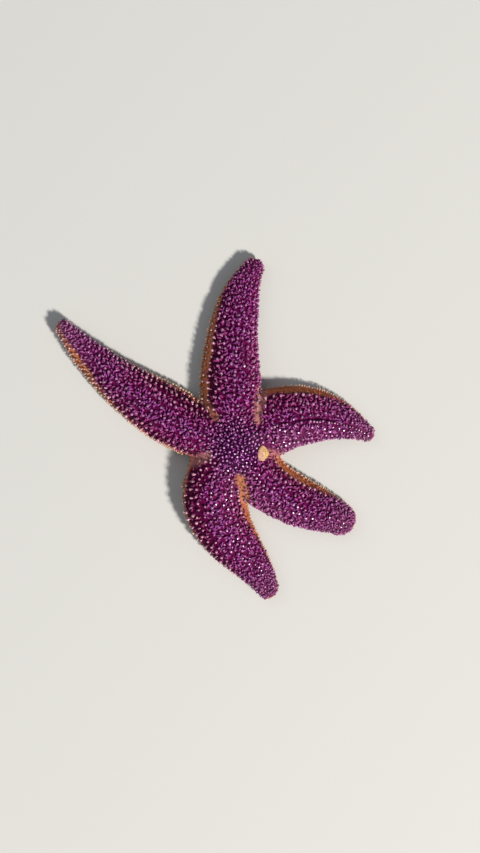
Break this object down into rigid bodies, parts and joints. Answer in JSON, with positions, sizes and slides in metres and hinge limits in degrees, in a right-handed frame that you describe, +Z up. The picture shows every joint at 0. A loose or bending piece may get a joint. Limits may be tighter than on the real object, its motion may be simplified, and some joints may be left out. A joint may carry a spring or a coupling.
{
  "type": "common starfish",
  "caption": "Common starfish, life size and still, lying flat with its arms spread and gently curled; spiny back, grooved underside with tube feet.",
  "frame": {"origin": "on the floor, under the middle of the animal's bounding box", "axes": "+Z up from the floor, +Y towards the longest straight arm but one (arm e), +X to the right of it as seen from above"},
  "size_m": [0.128, 0.1368, 0.0145],
  "materials": {
    "skin": "wet leathery skin, violet with pale blunt spines and orange-brown flanks; stands in for living tissue",
    "plate": "wet chalky sieve plate, pale yellow-orange",
    "mouth": "wet membrane and spines, pale pinkish cream",
    "feet": "wet translucent tube feet, pale yellow",
    "eye": "wet pigment spot, dark red"
  },
  "bodies": {
    "root": {"disc": "skin", "madreporite": "plate", "mouth": "mouth", "arm_a_inner": "skin", "arm_a_outer": "skin", "arm_a_tip": "skin", "arm_a_groove": "feet", "arm_a_eyespot": "eye", "arm_b_inner": "skin", "arm_b_outer": "skin", "arm_b_tip": "skin", "arm_b_groove": "feet", "arm_b_eyespot": "eye", "arm_c_inner": "skin", "arm_c_outer": "skin", "arm_c_tip": "skin", "arm_c_groove": "feet", "arm_c_eyespot": "eye", "arm_d_inner": "skin", "arm_d_outer": "skin", "arm_d_tip": "skin", "arm_d_groove": "feet", "arm_d_eyespot": "eye", "arm_e_inner": "skin", "arm_e_outer": "skin", "arm_e_tip": "skin", "arm_e_groove": "feet", "arm_e_eyespot": "eye"}
  },
  "joints": []
}
